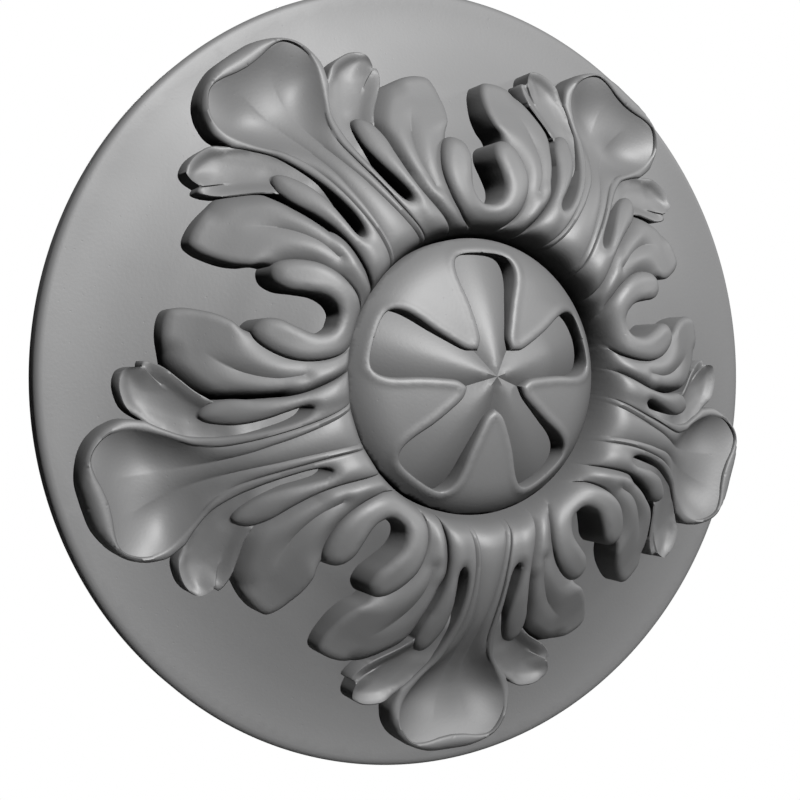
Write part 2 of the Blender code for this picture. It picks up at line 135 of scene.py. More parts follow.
def smooth_line(points: tuple, step: float) -> np.ndarray:
    """A Catmull-Rom line through points.

    Args:
        points: the points that the line passes through.
        step: the spacing of the points given back, about.

    Returns:
        The line's points, one row each.
    """
    pts = np.array(points, float)
    ends = np.vstack([2 * pts[0] - pts[1], pts, 2 * pts[-1] - pts[-2]])
    line = [pts[0]]
    for a, b, c, d in zip(ends, ends[1:], ends[2:], ends[3:]):
        count = max(1, round(float(np.linalg.norm(c - b)) / step))
        for t in np.arange(1, count + 1) / count:
            line.append(0.5 * (2 * b + (c - a) * t + (2 * a - 5 * b + 4 * c - d) * t ** 2
                               + (3 * b - a - 3 * c + d) * t ** 3))
    return np.array(line)


def joined(*lines: np.ndarray) -> np.ndarray:
    """One closed outline from lines that meet end to end."""
    return np.vstack([line[:-1] for line in lines] + [lines[-1][-1:]])


def distance(points: np.ndarray, line: np.ndarray) -> np.ndarray:
    """How far each point is from a line of straight pieces.

    Args:
        points: the points, one row each.
        line: the line's own points, one row each.

    Returns:
        One distance for each point.
    """
    starts, spans = line[:-1], np.diff(line, axis=0)
    lengths = (spans ** 2).sum(-1)
    gaps = []
    for block in np.array_split(points, max(1, len(points) // BLOCK)):
        away = block[:, None] - starts[None]
        share = np.clip((away * spans).sum(-1) / lengths, 0, 1)
        gaps.append(np.linalg.norm(away - share[..., None] * spans, axis=-1).min(1))
    return np.concatenate(gaps)


def inside(points: np.ndarray, outline: np.ndarray) -> np.ndarray:
    """Which points lie within a closed outline.

    Args:
        points: the points, one row each.
        outline: the outline's own points, one row each.

    Returns:
        True or False for each point.
    """
    x, y = points[:, 0, None], points[:, 1, None]
    x1, y1 = outline.T
    x2, y2 = np.roll(outline, -1, axis=0).T
    rise = np.where(y2 == y1, TINY, y2 - y1)
    crossed = ((y1 > y) != (y2 > y)) & (x < (x2 - x1) * (y - y1) / rise + x1)
    return crossed.sum(1) % 2 == 1


def ease(value: np.ndarray, low: float, high: float) -> np.ndarray:
    """0 below low, 1 above high, and a smooth step between."""
    t = np.clip((value - low) / (high - low), 0, 1)
    return t * t * (3 - 2 * t)


def arch(share: np.ndarray) -> np.ndarray:
    """0 at a share of 0 and of 1, and 1 halfway."""
    return 4 * share * (1 - share)


def fading(gap: np.ndarray, width: float) -> np.ndarray:
    """1 at a line, falling to 0 at width from it, as beside a crease."""
    return (1 - np.clip(gap / width, 0, 1)) ** 2


def rolled(gap: np.ndarray, width: float) -> np.ndarray:
    """1 at an edge, falling to 0 at width from it in a quarter circle."""
    return 1 - np.sqrt(1 - (1 - np.clip(gap / width, 0, 1)) ** 2)


def bead(gap: np.ndarray, middle: float, width: float = 0.6) -> np.ndarray:
    """A soft ridge beside an edge, highest at middle from it, its width a part of middle."""
    return np.exp(-((gap - middle) / (width * middle)) ** 2)


def turned(profile: tuple, p: np.ndarray, step: float = 0.8) -> np.ndarray:
    """Height at points of a profile that is turned round the middle."""
    radii, heights = smooth_line(profile, step).T
    return np.interp(np.hypot(*p.T), radii, heights)


def mound(p: np.ndarray) -> np.ndarray:
    """Height of the mound at points."""
    return turned(MOUND, p)


@dataclass
class Drawing:
    """The tenth's lines, and the closed outlines of the forms that they bound."""

    step: float = 0.8
    disc_radius: float = 150.0
    groove_radius: float = 50.4
    pocket_start: float = 61.6
    sector_tip: float = 11.4

    def __post_init__(self) -> None:
        """Draws the lines and the closed outlines."""
        cosine, sine = math.cos(HALF_UNIT), math.sin(HALF_UNIT)
        scroll = SCROLL_OUTER + ((self.pocket_start * sine, self.pocket_start * cosine),)
        petal = ((0, self.sector_tip),) + tuple(
            (along * sine - across * cosine, across * sine + along * cosine)
            for across, along in PETAL)
        line = {name: smooth_line(points, self.step) for name, points in (
            ("lip", LIP_EDGE), ("stem", STEM_EDGE), ("fold", FOLD), ("crease", CREASE),
            ("spoon", SPOON), ("sliver", SLIVER), ("spoon_root", SPOON_ROOT),
            ("sliver_crease", SLIVER_CREASE), ("leaf", SIDE_LEAF), ("leaf_root", SIDE_LEAF_ROOT),
            ("midrib", MIDRIB), ("scroll", scroll), ("petal", petal), ("flank", SIDE_LEAF[:7]),
            ("spoon_rim", SPOON[4:]))}
        self.line = line
        self.lobe_edge = np.vstack([line["lip"], line["stem"]])
        self.sliver = np.vstack([line["sliver"], line["sliver_crease"][::-1]])
        centre = np.zeros((1, 2))
        self.petal_side = np.vstack([centre, line["petal"]])
        self.outline = {
            Layer.FLOOR: np.vstack([centre, line["fold"]]),
            Layer.LEAF: joined(line["leaf"], line["leaf_root"]),
            Layer.SPOON: joined(line["spoon"], line["sliver"], line["spoon_root"]),
            Layer.STEM: np.vstack([line["lip"], line["stem"][1:], line["fold"][::-1]]),
            Layer.SCROLL: np.vstack([line["scroll"], centre]),
        }

    def layer_at(self, p: np.ndarray) -> np.ndarray:
        """The topmost form at each point.

        Args:
            p: the points, one row each.

        Returns:
            An array of layers.
        """
        layers = np.full(len(p), Layer.DISC, dtype=object)
        for layer, outline in self.outline.items():
            layers[inside(p, outline)] = layer
        in_boss = np.hypot(*p.T) < self.groove_radius
        layers[in_boss] = Layer.BOSS
        layers[in_boss & inside(p, self.petal_side)] = Layer.PETAL
        return layers


@dataclass
class Ground:
    """The disc, which rises to a low dome between the leaves and is rounded over at its rim.

    The slack keeps the rounding just short of upright at the rim itself.
    """

    drawing: Drawing
    rim_rounding: float = 3.0
    rim_slack: float = 0.999

    def height(self, p: np.ndarray) -> np.ndarray:
        """Height of the disc's face at points.

        Args:
            p: the points, one row each.

        Returns:
            One height for each point.
        """
        rounding = self.rim_rounding
        out = np.clip(np.hypot(*p.T) - self.drawing.disc_radius + rounding, 0, rounding)
        return turned(GROUND, p) + np.sqrt(rounding ** 2 - out ** 2 * self.rim_slack) - rounding


@dataclass
class Lobe:
    """The broad lobe: a rolled rim round a dished floor, and a ribbed stem with its finger."""

    drawing: Drawing
    lip_rise: float = 1.4
    lip_drop: float = 8.0
    lip_step: float = 0.65
    lip_span: tuple = (117.0, 136.0)
    lip_step_span: tuple = (126.0, 134.0)
    band_rise: float = 0.3
    band_drop: float = 1.8
    band_step: float = 0.5
    band_step_span: tuple = (84.0, 100.0)
    edge_share: float = 0.75
    fold_share: float = 0.5
    finger_lift: float = 1.4
    finger_drop: float = 3.0
    finger_round: float = 4.2
    finger_across: tuple = (8.5, 13.0)
    finger_end: tuple = (101.0, 108.0)
    rib_swell: float = 1.0
    rib_end: tuple = (96.0, 122.0)
    rib_least: float = 0.5
    bowl_depth: float = 6.0
    bowl_span: tuple = (86.0, 118.0)
    bowl_start: float = 106.0
    bowl_past_fold: float = 1.2
    bowl_across: float = 2.4
    bowl_along: float = 3.2
    scoop: float = 1.6
    middle_scoop: float = -0.3
    scoop_end: tuple = (118.0, 134.0)

    def floor(self, p: np.ndarray) -> np.ndarray:
        """Height of the dished floor: ribs along the stem that turn to scoops at the tip.

        Args:
            p: the points, one row each.

        Returns:
            One height for each point.
        """
        x, y = p.T
        fold, crease = self.drawing.line["fold"], self.drawing.line["crease"]
        side = fold[fold[:, 0].argmax():][::-1]
        fold_x = np.interp(y, side[:, 1], side[:, 0])
        crease_x = np.interp(y, crease[:, 1], crease[:, 0])
        in_middle = x < crease_x
        outer_rib = (x - crease_x) / np.maximum(fold_x - crease_x, self.rib_least)
        share = np.where(in_middle, 0.5 + 0.5 * x / crease_x, np.clip(outer_rib, 0, 1))
        tip = ease(y, *self.rib_end)
        rib = self.rib_swell * (arch(share) - 1)
        scoop = np.where(in_middle, self.middle_scoop, 1.0) * self.scoop * arch(share)
        scoop = scoop * (1 - ease(y, *self.scoop_end))
        across = np.clip(x / fold_x, 0, 1)
        length = FOLD[0][1] + self.bowl_past_fold - self.bowl_start
        along = np.clip((y - self.bowl_start) / length, 0, 1)
        bowl = (1 - across ** self.bowl_across) * (1 - along ** self.bowl_along)
        bowl = self.bowl_depth * ease(y, *self.bowl_span) * bowl
        return mound(p) - bowl + (1 - tip) * rib - tip * scoop

    def stem(self, p: np.ndarray) -> np.ndarray:
        """Height of the rolled rim, the stem and the finger beside the eye.

        Args:
            p: the points, one row each.

        Returns:
            One height for each point.
        """
        x, y = p.T
        tip = ease(y, *self.lip_span)
        edge = distance(p, self.drawing.lobe_edge)
        fold = distance(p, self.drawing.line["fold"])
        band = np.maximum(edge + fold, TINY)
        rise = self.band_rise + (self.lip_rise - self.band_rise) * tip
        drop = self.band_drop + (self.lip_drop - self.band_drop) * tip
        tuck = (rise + self.rib_swell * (1 - ease(y, *self.rib_end))
                - self.band_step * (1 - ease(y, *self.band_step_span))
                - self.lip_step * ease(y, *self.lip_step_span))
        rim = (rise - drop * rolled(edge, self.edge_share * band)
               - tuck * rolled(fold, self.fold_share * band))
        finger = self.finger_lift - self.finger_drop * rolled(edge, self.finger_round)
        beside = ease(x, *self.finger_across) * (1 - ease(y, *self.finger_end))
        return mound(p) + rim * (1 - beside) + finger * beside


@dataclass
class SideLobe:
    """The dished side lobe with its split tip, sinking into the eye beside the stem."""

    drawing: Drawing
    dish: float = 4.6
    dish_spread: float = 6.5
    dish_span: tuple = (70.0, 84.0)
    mouth_span: tuple = (92.0, 106.0)
    bead_height: float = 0.5
    bead_gap: float = 2.2
    bead_from_notch: tuple = (1.0, 8.0)
    rim_drop: float = 1.5
    rim_round: float = 1.6
    rim_hidden: float = 3.0
    rim_span: tuple = (111.0, 118.0)
    tuck: float = 1.8
    tuck_spread: float = 4.5
    tuck_span: tuple = (97.0, 107.0)
    split_step: float = 0.9
    split_spread: float = 5.0
    split_from_notch: tuple = (4.0, 13.0)
    split_width: float = 0.01
    lobe_share: float = 0.6
    sliver_share: float = -0.4
    eye_depth: float = 15.0
    eye_span: tuple = (67.0, 93.0)

    def height(self, p: np.ndarray) -> np.ndarray:
        """Height of the side lobe at points.

        Args:
            p: the points, one row each.

        Returns:
            One height for each point.
        """
        y, line = p[:, 1], self.drawing.line
        mouth = self.dish_spread * (1 - ease(y, *self.mouth_span))
        outer = distance(p, line["spoon"]) + mouth + TINY
        inner = distance(p, line["sliver"])
        hidden = self.rim_hidden * (1 - ease(y, *self.rim_span))
        free = np.minimum(distance(p, line["spoon_rim"]) + hidden, inner)
        split = distance(p, line["sliver_crease"])
        notch = np.hypot(*(p - np.array(SLIVER[0])).T)
        between = outer * inner / (outer + inner)
        dish = self.dish * (1 - fading(between, self.dish_spread)) * ease(y, *self.dish_span)
        eye = self.eye_depth * (1 - ease(y, *self.eye_span))
        rim = (self.bead_height * bead(free, self.bead_gap) * ease(notch, *self.bead_from_notch)
               - self.rim_drop * rolled(free, self.rim_round))
        step = self.split_step * fading(split, self.split_spread)
        step = step * (1 - ease(notch, *self.split_from_notch))
        beyond = inside(p, self.drawing.sliver) & (split > self.split_width)
        lobe = distance(p, self.drawing.lobe_edge)
        tuck = self.tuck * fading(lobe, self.tuck_spread) * ease(y, *self.tuck_span)
        return (mound(p) - dish - eye + rim - tuck
                + step * np.where(beyond, self.sliver_share, self.lobe_share))


@dataclass
class SideLeaf:
    """The broad side leaf with its midrib, tucked under the forms round it."""

    drawing: Drawing
    lift: float = 0.8
    edge_drop: float = 2.6
    edge_round: float = 2.6
    midrib_depth: float = 1.8
    midrib_spread: float = 5.0
    midrib_fade: float = 16.0
    tucks: tuple = (("flank", 3.6, 7.0), ("scroll", 3.2, 6.5), ("stem", 3.8, 4.0),
                    ("sliver", 4.0, 5.0))

    def height(self, p: np.ndarray) -> np.ndarray:
        """Height of the side leaf at points.

        Args:
            p: the points, one row each.

        Returns:
            One height for each point.
        """
        line = self.drawing.line
        level = mound(p) + self.lift
        level = level - self.edge_drop * rolled(distance(p, line["leaf"]), self.edge_round)
        for name, depth, spread in self.tucks:
            level = level - depth * fading(distance(p, line[name]), spread)
        end = np.hypot(*(p - np.array(MIDRIB[-1])).T)
        midrib = self.midrib_depth * fading(distance(p, line["midrib"]), self.midrib_spread)
        return level - midrib * ease(end, 0, self.midrib_fade)


@dataclass
class Scroll:
    """The C-scroll that joins two clusters round its pocket."""

    drawing: Drawing
    lift: float = 1.6
    lift_span: tuple = (56.0, 76.0)
    edge_drop: float = 3.4
    edge_round: float = 3.8

    def height(self, p: np.ndarray) -> np.ndarray:
        """Height of the scroll at points.

        Args:
            p: the points, one row each.

        Returns:
            One height for each point.
        """
        edge = distance(p, self.drawing.line["scroll"])
        lift = self.lift * ease(np.hypot(*p.T), *self.lift_span)
        return mound(p) + lift - self.edge_drop * rolled(edge, self.edge_round)


@dataclass
class Boss:
    """The dome in the middle with its sunk petals, which rise to a sharp star."""

    drawing: Drawing
    top: float = 51.0
    fall: float = 11.5
    turn: float = 5.0
    turn_width: float = 14.0
    turn_power: float = 1.5
    bead_height: float = 0.45
    bead_gap: float = 2.0
    edge_drop: float = 1.5
    edge_round: float = 1.4
    star_height: float = 51.4
    petal_fall: float = 0.10
    petal_curve: float = 1.0
    petal_bow: float = 0.02
    pleat: float = 5.5
    pleat_power: float = 1.6
    pleat_start: float = 8.0

    def dome(self, p: np.ndarray) -> np.ndarray:
        """Height of the dome at points.

        Args:
            p: the points, one row each.

        Returns:
            One height for each point.
        """
        groove = self.drawing.groove_radius
        share = np.clip(np.hypot(*p.T) / groove, 0, 1)
        edge = distance(p, self.drawing.line["petal"])
        return (self.top - self.fall * share ** 2
                - self.turn * fading(groove * (1 - share), self.turn_width) ** self.turn_power
                + self.bead_height * bead(edge, self.bead_gap)
                - self.edge_drop * rolled(edge, self.edge_round))

    def petal(self, p: np.ndarray) -> np.ndarray:
        """Height of a sunk petal's floor at points.

        Args:
            p: the points, one row each.

        Returns:
            One height for each point.
        """
        radius, angle = np.hypot(*p.T), HALF_UNIT - np.arctan2(*p.T)
        size, aside = self.drawing.disc_radius, radius * np.sin(angle)
        q = radius * np.cos(angle) / size
        swing = np.abs(aside) / np.maximum(radius * math.tan(HALF_UNIT), TINY)
        fall = self.petal_fall * q + self.petal_curve * q ** 2
        pleat = self.pleat * swing ** self.pleat_power * (1 - np.exp(-radius / self.pleat_start))
        return self.star_height - size * fall - self.petal_bow * aside ** 2 - pleat


@dataclass
class Carving:
    """All the forms of the tenth, each at its height above the disc's face."""

    ring_fade: tuple = (51.0, 57.0)

    def __post_init__(self) -> None:
        """Makes the drawing and the forms on it."""
        self.drawing = Drawing()
        lobe, boss = Lobe(self.drawing), Boss(self.drawing)
        self.ground = Ground(self.drawing)
        self.forms = {
            Layer.DISC: self.ground.height,
            Layer.PETAL: boss.petal,
            Layer.FLOOR: lobe.floor,
            Layer.LEAF: SideLeaf(self.drawing).height,
            Layer.SPOON: SideLobe(self.drawing).height,
            Layer.STEM: lobe.stem,
            Layer.SCROLL: Scroll(self.drawing).height,
            Layer.BOSS: boss.dome,
        }

    def height(self, layer: Layer, p: np.ndarray) -> np.ndarray:
        """Height of one form at points: the leaves run out to a plain ring round the groove.

        Args:
            layer: the form.
            p: the points, one row each.

        Returns:
            One height for each point.
        """
        own = self.forms[layer](p)
        if layer in (Layer.FLOOR, Layer.LEAF, Layer.STEM, Layer.SCROLL):
            return mound(p) + (own - mound(p)) * ease(np.hypot(*p.T), *self.ring_fade)
        return own


@dataclass
class Tenth:
    """The tenth of the rosette as points, faces and their heights, finely cut.

    A step or a gap is a spacing in millimetres, a share is a part of the rim's rounding, and
    a clear is how far points keep from a line or from each other, as a part of their step.
    """

    carving: Carving
    rim_step: float = 2.4
    rim_shares: tuple = (0, 0.07, 0.3, 0.6, 1)
    rim_clear: float = 1.3
    row_gaps: tuple = (0.4, 1.0)
    row_clear: float = 0.8
    row_apart: float = 0.55
    field_step: float = 1.05
    ground_step: float = 3.0
    line_clear: float = 0.55
    point_clear: float = 0.62
    end_clear: float = 0.4
    level_gap: float = 0.02
    merge: float = 1e-4
    on_rim: float = 0.01

    def arc(self, radius: float, step: float) -> np.ndarray:
        """Points along the tenth at one radius, both of its edges included."""
        angles = np.linspace(0, HALF_UNIT, round(radius * HALF_UNIT / step) + 1)
        return np.stack([radius * np.sin(angles), radius * np.cos(angles)], 1)

    def fixed_lines(self) -> list:
        """Every line that the faces follow.

        Returns:
            The rim's and the groove's arcs, the carving's lines and the tenth's two sides.
        """
        drawing, rounding = self.carving.drawing, self.carving.ground.rim_rounding
        lines = [self.arc(drawing.disc_radius - share * rounding, self.rim_step)
                 for share in self.rim_shares]
        lines.append(self.arc(drawing.groove_radius, drawing.step))
        lines += [drawing.line[name] for name in CARVED_LINES]
        clear = self.end_clear * self.field_step
        for side in (0, HALF_UNIT):
            ends = [line[i] for line in lines for i in (0, -1)
                    if abs(np.arctan2(*line[i]) - side) < TINY]
            for radius in np.arange(0, drawing.disc_radius, self.field_step):
                if min(abs(radius - np.linalg.norm(end)) for end in ends) > clear:
                    ends.append(np.array([radius * math.sin(side), radius * math.cos(side)]))
            lines.append(np.array(sorted(ends, key=np.linalg.norm)))
        return lines

    def loose_points(self, lines: list) -> np.ndarray:
        """Points between the lines: two rows beside each line, then an even field.

        Args:
            lines: the fixed lines.

        Returns:
            The points that are clear of the lines and of each other.
        """
        drawing, ground = self.carving.drawing, self.carving.ground
        rows = []
        for gap in self.row_gaps:
            for line in (drawing.line[name] for name in CARVED_LINES):
                middle = 0.5 * (line[1:] + line[:-1])
                along = np.diff(line, axis=0)
                across = np.stack([-along[:, 1], along[:, 0]], 1)
                normal = across / np.linalg.norm(along, axis=1)[:, None]
                rows += [middle + gap * normal, middle - gap * normal]
        beside = np.vstack(rows)
        carved, bare = self.field(self.field_step), self.field(self.ground_step)
        points = np.vstack([beside, carved, bare])
        spacing = np.repeat([0.0, self.field_step, self.ground_step],
                            [len(beside), len(carved), len(bare)])
        angle = np.arctan2(*points.T)
        on_ground = drawing.layer_at(points) == Layer.DISC
        keep = (angle > 0) & (angle < HALF_UNIT) & (on_ground == (spacing == self.ground_step))
        keep &= np.hypot(*points.T) < drawing.disc_radius - self.rim_clear * ground.rim_rounding
        points, spacing = points[keep], spacing[keep]
        gaps = np.min([distance(points, line) for line in lines], axis=0)
        keep = gaps > np.maximum(self.row_clear * self.row_gaps[0], self.line_clear * spacing)
        points, spacing, gaps = points[keep], spacing[keep], gaps[keep]
        apart = np.maximum(self.point_clear * spacing, np.minimum(gaps, self.row_apart))
        return self.thinned(points, apart)

    def field(self, pitch: float) -> np.ndarray:
        """Staggered rows of points over the tenth.

        Args:
            pitch: how far apart they are.

        Returns:
            The points, one row each.
        """
        radius = self.carving.drawing.disc_radius
        row_height = pitch * math.sqrt(0.75)
        across, up = np.meshgrid(np.arange(0, radius, pitch), np.arange(0, radius, row_height))
        across = across + 0.5 * pitch * (np.arange(len(up)) % 2)[:, None]
        return np.stack([across.ravel(), up.ravel()], 1)

    def thinned(self, points: np.ndarray, clear: np.ndarray) -> np.ndarray:
        """The points that keep clear of those taken before them.

        Args:
            points: the points, in the order in which they are taken.
            clear: how far each has to be from the ones taken.

        Returns:
            The points taken.
        """
        cell = float(clear.max())
        taken: dict = {}
        kept = []
        for (x, y), gap in zip(points, clear):
            column, row = int(x // cell), int(y // cell)
            near = [q for i in (-1, 0, 1) for j in (-1, 0, 1)
                    for q in taken.get((column + i, row + j), ())]
            if all((x - u) ** 2 + (y - v) ** 2 > gap * gap for u, v in near):
                taken.setdefault((column, row), []).append((x, y))
                kept.append((x, y))
        return np.array(kept)

    def plan(self) -> tuple:
        """Cuts the tenth into triangles along every outline.

        Returns:
            The points and the triangles.
        """
        lines = self.fixed_lines()
        verts: list = []
        edges: list = []
        for line in lines:
            first = len(verts)
            verts.extend(Vector(point) for point in line)
            edges.extend((first + i, first + i + 1) for i in range(len(line) - 1))
        verts.extend(Vector(point) for point in self.loose_points(lines))
        points, _, triangles = delaunay_2d_cdt(verts, edges, [], 1, self.merge)[:3]
        return np.array([tuple(point) for point in points]), triangles

    def build(self, thickness: float) -> tuple:
        """Cuts the tenth out: forms at their heights, sheer walls between them, and the back.

        Args:
            thickness: the disc's thickness, in millimetres.

        Returns:
            The mesh's points in millimetres and its faces.
        """
        points, triangles = self.plan()
        middles = np.array([points[list(face)].mean(0) for face in triangles])
        layers = self.carving.drawing.layer_at(middles)
        heights = {layer: self.carving.height(layer, points) for layer in set(layers)}
        levels: list = [{} for _ in points]
        neighbours = {}
        for face, layer in zip(triangles, layers):
            for corner, following in zip(face, face[1:] + face[:1]):
                levels[corner][layer] = float(heights[layer][corner]) + thickness
                neighbours[corner, following] = layer

        verts: list = []
        columns = []
        for point, level in zip(points, levels):
            order = sorted(level, key=lambda layer: layer.value, reverse=True)
            for upper, lower in zip(order, order[1:]):
                level[lower] = min(level[lower], level[upper])
            column, made = {}, []
            for layer in reversed(order):
                if not made or level[layer] - verts[made[-1]][2] > self.level_gap:
                    made.append(len(verts))
                    verts.append((point[0], point[1], level[layer]))
                column[layer] = len(made) - 1
            columns.append((column, made))

        faces = [[columns[corner][1][columns[corner][0][layer]] for corner in face]
                 for face, layer in zip(triangles, layers)]
        rim, rim_starts = [], self.carving.drawing.disc_radius - self.on_rim
        for (a, b), layer in neighbours.items():
            other = neighbours.get((b, a))
            if other is None:
                if min(np.linalg.norm(points[a]), np.linalg.norm(points[b])) > rim_starts:
                    rim.append((columns[a][1][0], columns[b][1][0]))
                continue
            tops = columns[a][0][layer], columns[b][0][layer]
            feet = columns[a][0][other], columns[b][0][other]
            if other.value < layer.value and tops != feet:
                rising = columns[b][1][feet[1]:tops[1] + 1]
                falling = columns[a][1][feet[0]:tops[0] + 1][::-1]
                faces.append(rising + falling)
        return verts, faces + self.closed_back(verts, rim)

    def closed_back(self, verts: list, rim: list) -> list:
        """The disc's side and flat back, below the rim's edges.

        Args:
            verts: the mesh's points, to which the back's are added.
            rim: the rim's edges, as pairs of point numbers.

        Returns:
            The new faces.
        """
        middle = len(verts)
        verts.append((0.0, 0.0, 0.0))
        foot = {}
        for corner in sorted({corner for edge in rim for corner in edge}):
            foot[corner] = len(verts)
            verts.append((verts[corner][0], verts[corner][1], 0.0))
        faces = []
        for a, b in rim:
            faces += [[b, a, foot[a], foot[b]], [foot[b], foot[a], middle]]
        return faces


@dataclass(frozen=True)
class PlasterFinish:
    """Smooth cast plaster, tinted grey all through and lightly burnished by hand."""

    name: str = "grey_plaster"
    colour: tuple = (0.262, 0.262, 0.264)
    dark: tuple = (0.232, 0.232, 0.234)
    roughness: float = 0.61
    sheen_ior: float = 1.8
    gloss: float = 1.0
    cloud_scale: float = 9.0
    cloud_detail: float = 5.0
    tint_range: tuple = (0.35, 0.6)
    sheen_range: tuple = (0.3, 0.7)
    sheen_swing: float = 0.05
    grain_scale: float = 900.0
    grain_detail: float = 3.0
    grain_depth: float = 0.00004
    pore_scale: float = 260.0
    pore_range: tuple = (0.02, 0.10)
    pore_depth: float = 0.00004

    def material(self) -> bpy.types.Material:
        """Builds the material's nodes.

        Returns:
            The material, its pattern fixed to the object.
        """
        material = bpy.data.materials.new(self.name)
        material.use_nodes = True
        nodes, links = material.node_tree.nodes, material.node_tree.links
        shader = nodes["Principled BSDF"]
        shader.inputs["IOR"].default_value = self.sheen_ior
        shader.inputs["Specular IOR Level"].default_value = self.gloss
        place = nodes.new("ShaderNodeTexCoord").outputs["Object"]

        def noise(scale: float, detail: float) -> bpy.types.NodeSocket:
            """A noise value on the object's own coordinates.

            Args:
                scale: how fine the noise is.
                detail: how many finer octaves it has.

            Returns:
                The socket with the value.
            """
            node = nodes.new("ShaderNodeTexNoise")
            node.inputs["Scale"].default_value = scale
            node.inputs["Detail"].default_value = detail
            links.new(place, node.inputs["Vector"])
            return node.outputs["Fac"]

        def ranged(value: bpy.types.NodeSocket, low: float, high: float, to_low: float,
                   to_high: float) -> bpy.types.NodeSocket:
            """A value carried from one range to another.

            Args:
                value: the socket with the value.
                low: where the first range starts.
                high: where it ends.
                to_low: where the second range starts.
                to_high: where it ends.

            Returns:
                The socket with the carried value.
            """
            node = nodes.new("ShaderNodeMapRange")
            links.new(value, node.inputs["Value"])
            for name, number in (("From Min", low), ("From Max", high), ("To Min", to_low),
                                 ("To Max", to_high)):
                node.inputs[name].default_value = number
            return node.outputs["Result"]

        cloud = noise(self.cloud_scale, self.cloud_detail)
        grain = noise(self.grain_scale, self.grain_detail)
        tint = nodes.new("ShaderNodeMix")
        tint.data_type = "RGBA"
        tint.inputs["A"].default_value = (*self.dark, 1.0)
        tint.inputs["B"].default_value = (*self.colour, 1.0)
        links.new(ranged(cloud, *self.tint_range, 0.0, 1.0), tint.inputs["Factor"])
        links.new(tint.outputs["Result"], shader.inputs["Base Color"])
        dull, bright = self.roughness + self.sheen_swing, self.roughness - self.sheen_swing
        links.new(ranged(cloud, *self.sheen_range, dull, bright), shader.inputs["Roughness"])

        pores = nodes.new("ShaderNodeTexVoronoi")
        pores.inputs["Scale"].default_value = self.pore_scale
        links.new(place, pores.inputs["Vector"])
        pits = nodes.new("ShaderNodeBump")
        pits.inputs["Distance"].default_value = self.pore_depth
        hollow = ranged(pores.outputs["Distance"], *self.pore_range, 0.0, 1.0)
        links.new(hollow, pits.inputs["Height"])
        fine = nodes.new("ShaderNodeBump")
        fine.inputs["Distance"].default_value = self.grain_depth
        links.new(grain, fine.inputs["Height"])
        links.new(pits.outputs["Normal"], fine.inputs["Normal"])
        links.new(fine.outputs["Normal"], shader.inputs["Normal"])
        return material


@dataclass
class RosetteCasting:
    """The whole rosette as one closed casting that fills the frame's node."""

    name: str = "rosette_casting"
    disc_thickness: float = 11.0
    weld: float = 0.00001
    sharp_angle: float = math.radians(52)

    def build(self, finish: PlasterFinish) -> bpy.types.Object:
        """Models the casting and dresses it.

        Args:
            finish: the plaster's finish.

        Returns:
            The casting, at the origin with its place in its mesh.
        """
        low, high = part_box(NODE)
        carving = Carving()
        scale = 0.5 * (high.x - low.x) / carving.drawing.disc_radius
        verts, faces = Tenth(carving).build(self.disc_thickness)
        mesh = bpy.data.meshes.new(self.name)
        mesh.from_pydata([tuple(scale * value for value in vert) for vert in verts], [], faces)
        casting = bpy.data.objects.new(self.name, mesh)
        bpy.context.scene.collection.objects.link(casting)
        bpy.ops.object.select_all(action="DESELECT")
        casting.select_set(True)
        bpy.context.view_layer.objects.active = casting
        self.turn_round(casting)
        bpy.ops.object.shade_smooth_by_angle(angle=self.sharp_angle)
        casting.rotation_euler = (math.pi / 2, math.pi, 0)
        casting.location.y = high.y
        bpy.ops.object.transform_apply(location=True, rotation=True, scale=True)
        mesh.materials.append(finish.material())
        LOG.info("%s: %d faces", self.name, len(mesh.polygons))
        return casting

    def turn_round(self, casting: bpy.types.Object) -> None:
        """Mirrors the tenth and turns the pair round five times.

        Args:
            casting: the tenth's object, selected and active.
        """
        bpy.ops.object.modifier_add(type="MIRROR")
        mirror = casting.modifiers[-1]
        mirror.merge_threshold = self.weld
        bpy.ops.object.modifier_apply(modifier=mirror.name)
        turn = bpy.data.objects.new("turn", None)
        bpy.context.scene.collection.objects.link(turn)
        turn.rotation_euler.z = 2 * HALF_UNIT
        bpy.context.view_layer.update()
        bpy.ops.object.modifier_add(type="ARRAY")
        ring = casting.modifiers[-1]
        ring.count = UNITS
        ring.use_relative_offset = False
        ring.use_object_offset = True
        ring.offset_object = turn
        ring.use_merge_vertices = True
        ring.use_merge_vertices_cap = True
        ring.merge_threshold = self.weld
        bpy.ops.object.modifier_apply(modifier=ring.name)
        bpy.data.objects.remove(turn)
        bpy.ops.object.mode_set(mode="EDIT")
        bpy.ops.mesh.select_all(action="SELECT")
        bpy.ops.mesh.remove_doubles(threshold=self.weld)
        bpy.ops.mesh.normals_make_consistent(inside=False)
        bpy.ops.object.mode_set(mode="OBJECT")


